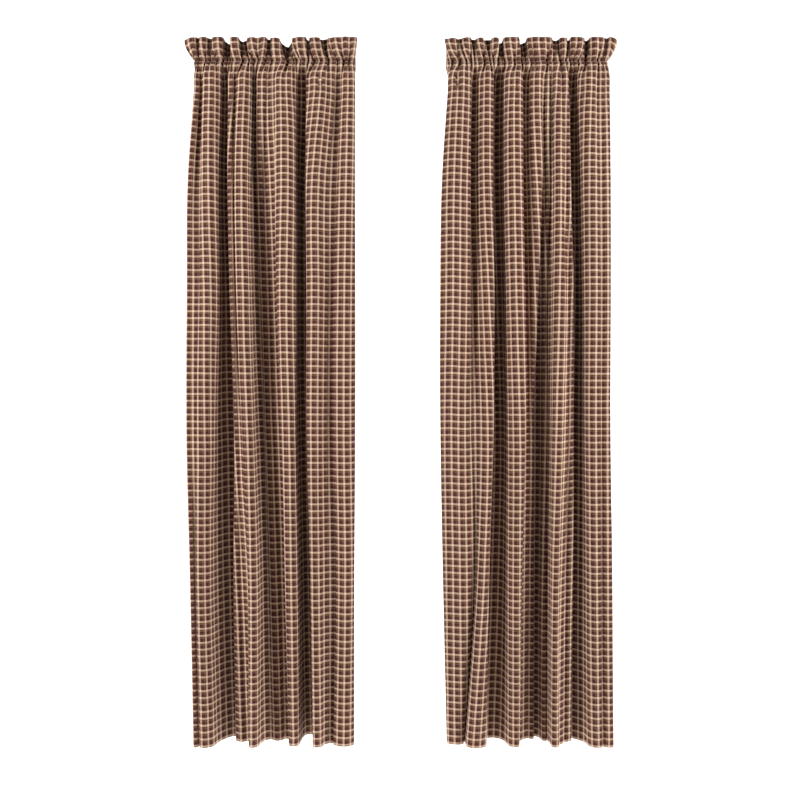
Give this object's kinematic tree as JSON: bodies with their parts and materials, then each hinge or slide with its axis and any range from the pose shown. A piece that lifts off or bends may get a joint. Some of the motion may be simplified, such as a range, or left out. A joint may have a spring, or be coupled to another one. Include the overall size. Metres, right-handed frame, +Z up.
{
  "type": "pair of rod pocket curtains",
  "caption": "Full-length curtains in a small cotton check, gathered on open rod pockets under a standing frill and hanging in uneven soft folds.",
  "frame": {"origin": "centre line of the empty rod channel that runs through both headings, midway between the two curtains", "axes": "+Z up, +X along the rod line to the right as seen from the front, and the fronts face -Y"},
  "size_m": [1.3088, 0.114, 2.1341],
  "materials": {
    "panel_cloth": "matt plain-woven cotton, yarn-dyed in a small check of dark red, tan and cream with fine dark lines",
    "heading_cloth": "the same matt checked cotton, turned down double and gathered"
  },
  "bodies": {
    "root": {"left_heading": "heading_cloth", "left_panel": "panel_cloth", "right_heading": "heading_cloth", "right_panel": "panel_cloth"}
  },
  "joints": []
}
